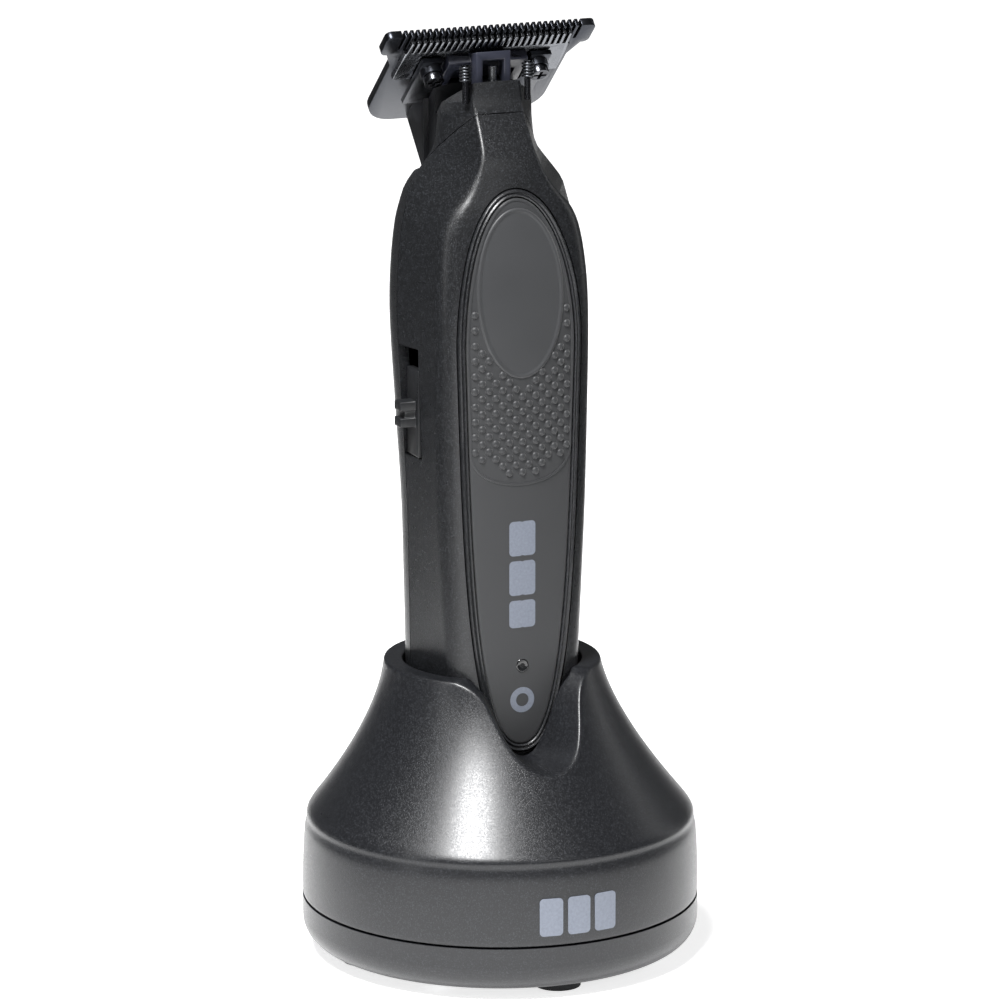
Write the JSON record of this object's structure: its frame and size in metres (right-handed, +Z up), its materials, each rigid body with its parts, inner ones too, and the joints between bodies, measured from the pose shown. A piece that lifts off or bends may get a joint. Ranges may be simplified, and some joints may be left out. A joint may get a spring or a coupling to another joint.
{
  "type": "hair clipper",
  "caption": "Cordless T-blade hair clipper with a shield-shaped grip panel and side slide switch, standing in a round flared charging stand.",
  "frame": {"origin": "centre of the stand's base, on the surface its feet rest on", "axes": "+Z up along the clipper, -Y towards the grip panel (the front), +X to the right seen from the front"},
  "size_m": [0.0772, 0.0772, 0.1813],
  "materials": {
    "stand_plastic": "satin black moulded ABS with a fine grain",
    "housing_paint": "ABS with a satin gunmetal metallic paint",
    "panel_rubber": "matte grey soft-touch moulding",
    "bead_paint": "satin metallic paint",
    "black_plastic": "matte black moulded plastic",
    "yoke_plastic": "blue-black moulded acetal",
    "switch_plastic": "satin black moulded ABS",
    "white_plastic": "natural moulded nylon",
    "foot_rubber": "matte rubber",
    "clear_plastic": "clear moulded light guide",
    "board_green": "solder-masked circuit board",
    "chip_black": "moulded epoxy",
    "cell_wrap": "shrink sleeve over a steel can",
    "lead_red": "insulated wire",
    "contact_gold": "gold-plated brass",
    "cam_brass": "turned brass",
    "bush_bronze": "sintered bronze",
    "winding_copper": "copper winding on a laminated core",
    "screw_steel": "zinc-plated steel",
    "black_steel": "black-oxide steel",
    "blade_steel": "black-coated hardened steel",
    "cutter_steel": "ground hardened steel",
    "bright_steel": "bright drawn steel",
    "spring_steel": "spring steel wire",
    "magnet_dark": "ferrite magnet"
  },
  "bodies": {
    "stand": {"stand_shell": "stand_plastic", "base_ring": "stand_plastic", "base_plate": "black_plastic", "stand_feet": "foot_rubber", "stand_screws": "screw_steel", "ballast_plate": "bright_steel", "stand_board": "board_green", "power_inlet": "bright_steel", "contact_block": "black_plastic", "pin_barrels": "contact_gold", "stand_leads": "lead_red"},
    "charge_pins": {"charge_pins": "contact_gold"},
    "clipper": {"front_shell": "housing_paint", "rear_shell": "housing_paint", "nose_cover": "housing_paint", "head_frame": "black_plastic", "grip_panel": "panel_rubber", "panel_bezel": "bead_paint", "light_pipe": "clear_plastic", "status_light": "clear_plastic", "circuit_board": "board_green", "charge_chip": "chip_black", "battery_cell": "cell_wrap", "battery_cradle": "black_plastic", "battery_tabs": "bright_steel", "contact_plate": "black_plastic", "charge_contacts": "contact_gold", "housing_screws": "screw_steel", "slide_switch": "bright_steel", "switch_board": "board_green", "motor_can": "bright_steel", "motor_end_cap": "white_plastic", "motor_magnets": "magnet_dark", "motor_bushes": "bush_bronze", "motor_mount": "bright_steel", "motor_screws": "screw_steel", "fixed_blade": "blade_steel", "blade_bracket": "black_steel", "blade_screws": "black_steel", "bracket_screws": "black_steel", "tension_springs": "spring_steel", "spring_posts": "bright_steel"},
    "switch": {"switch_button": "switch_plastic", "switch_lever": "black_plastic"},
    "rotor": {"motor_shaft": "bright_steel", "motor_core": "winding_copper", "eccentric_cam": "cam_brass", "drive_pin": "bright_steel"},
    "cutter": {"moving_blade": "cutter_steel", "cutter_yoke": "yoke_plastic"}
  },
  "joints": [
    {"name": "clipper_lift", "type": "slide", "parent": "stand", "child": "clipper", "axis": [0, 0, 1], "range_m": [0, 0.06]},
    {"name": "pin_press", "type": "slide", "parent": "stand", "child": "charge_pins", "axis": [0, 0, 1], "range_m": [-0.0008, 0], "stiffness_N_per_m": 400, "springref_m": 0.0005},
    {"name": "switch_slide", "type": "slide", "parent": "clipper", "child": "switch", "axis": [0, 0, 1], "range_m": [0, 0.004]},
    {"name": "rotor_spin", "type": "hinge", "parent": "clipper", "child": "rotor", "pos_m": [0, 0.0044, 0.13], "axis": [0, 0, 1], "continuous": true},
    {"name": "cutter_stroke", "type": "slide", "parent": "clipper", "child": "cutter", "axis": [1, 0, 0], "range_m": [-0.0006, 0.0006]}
  ]
}
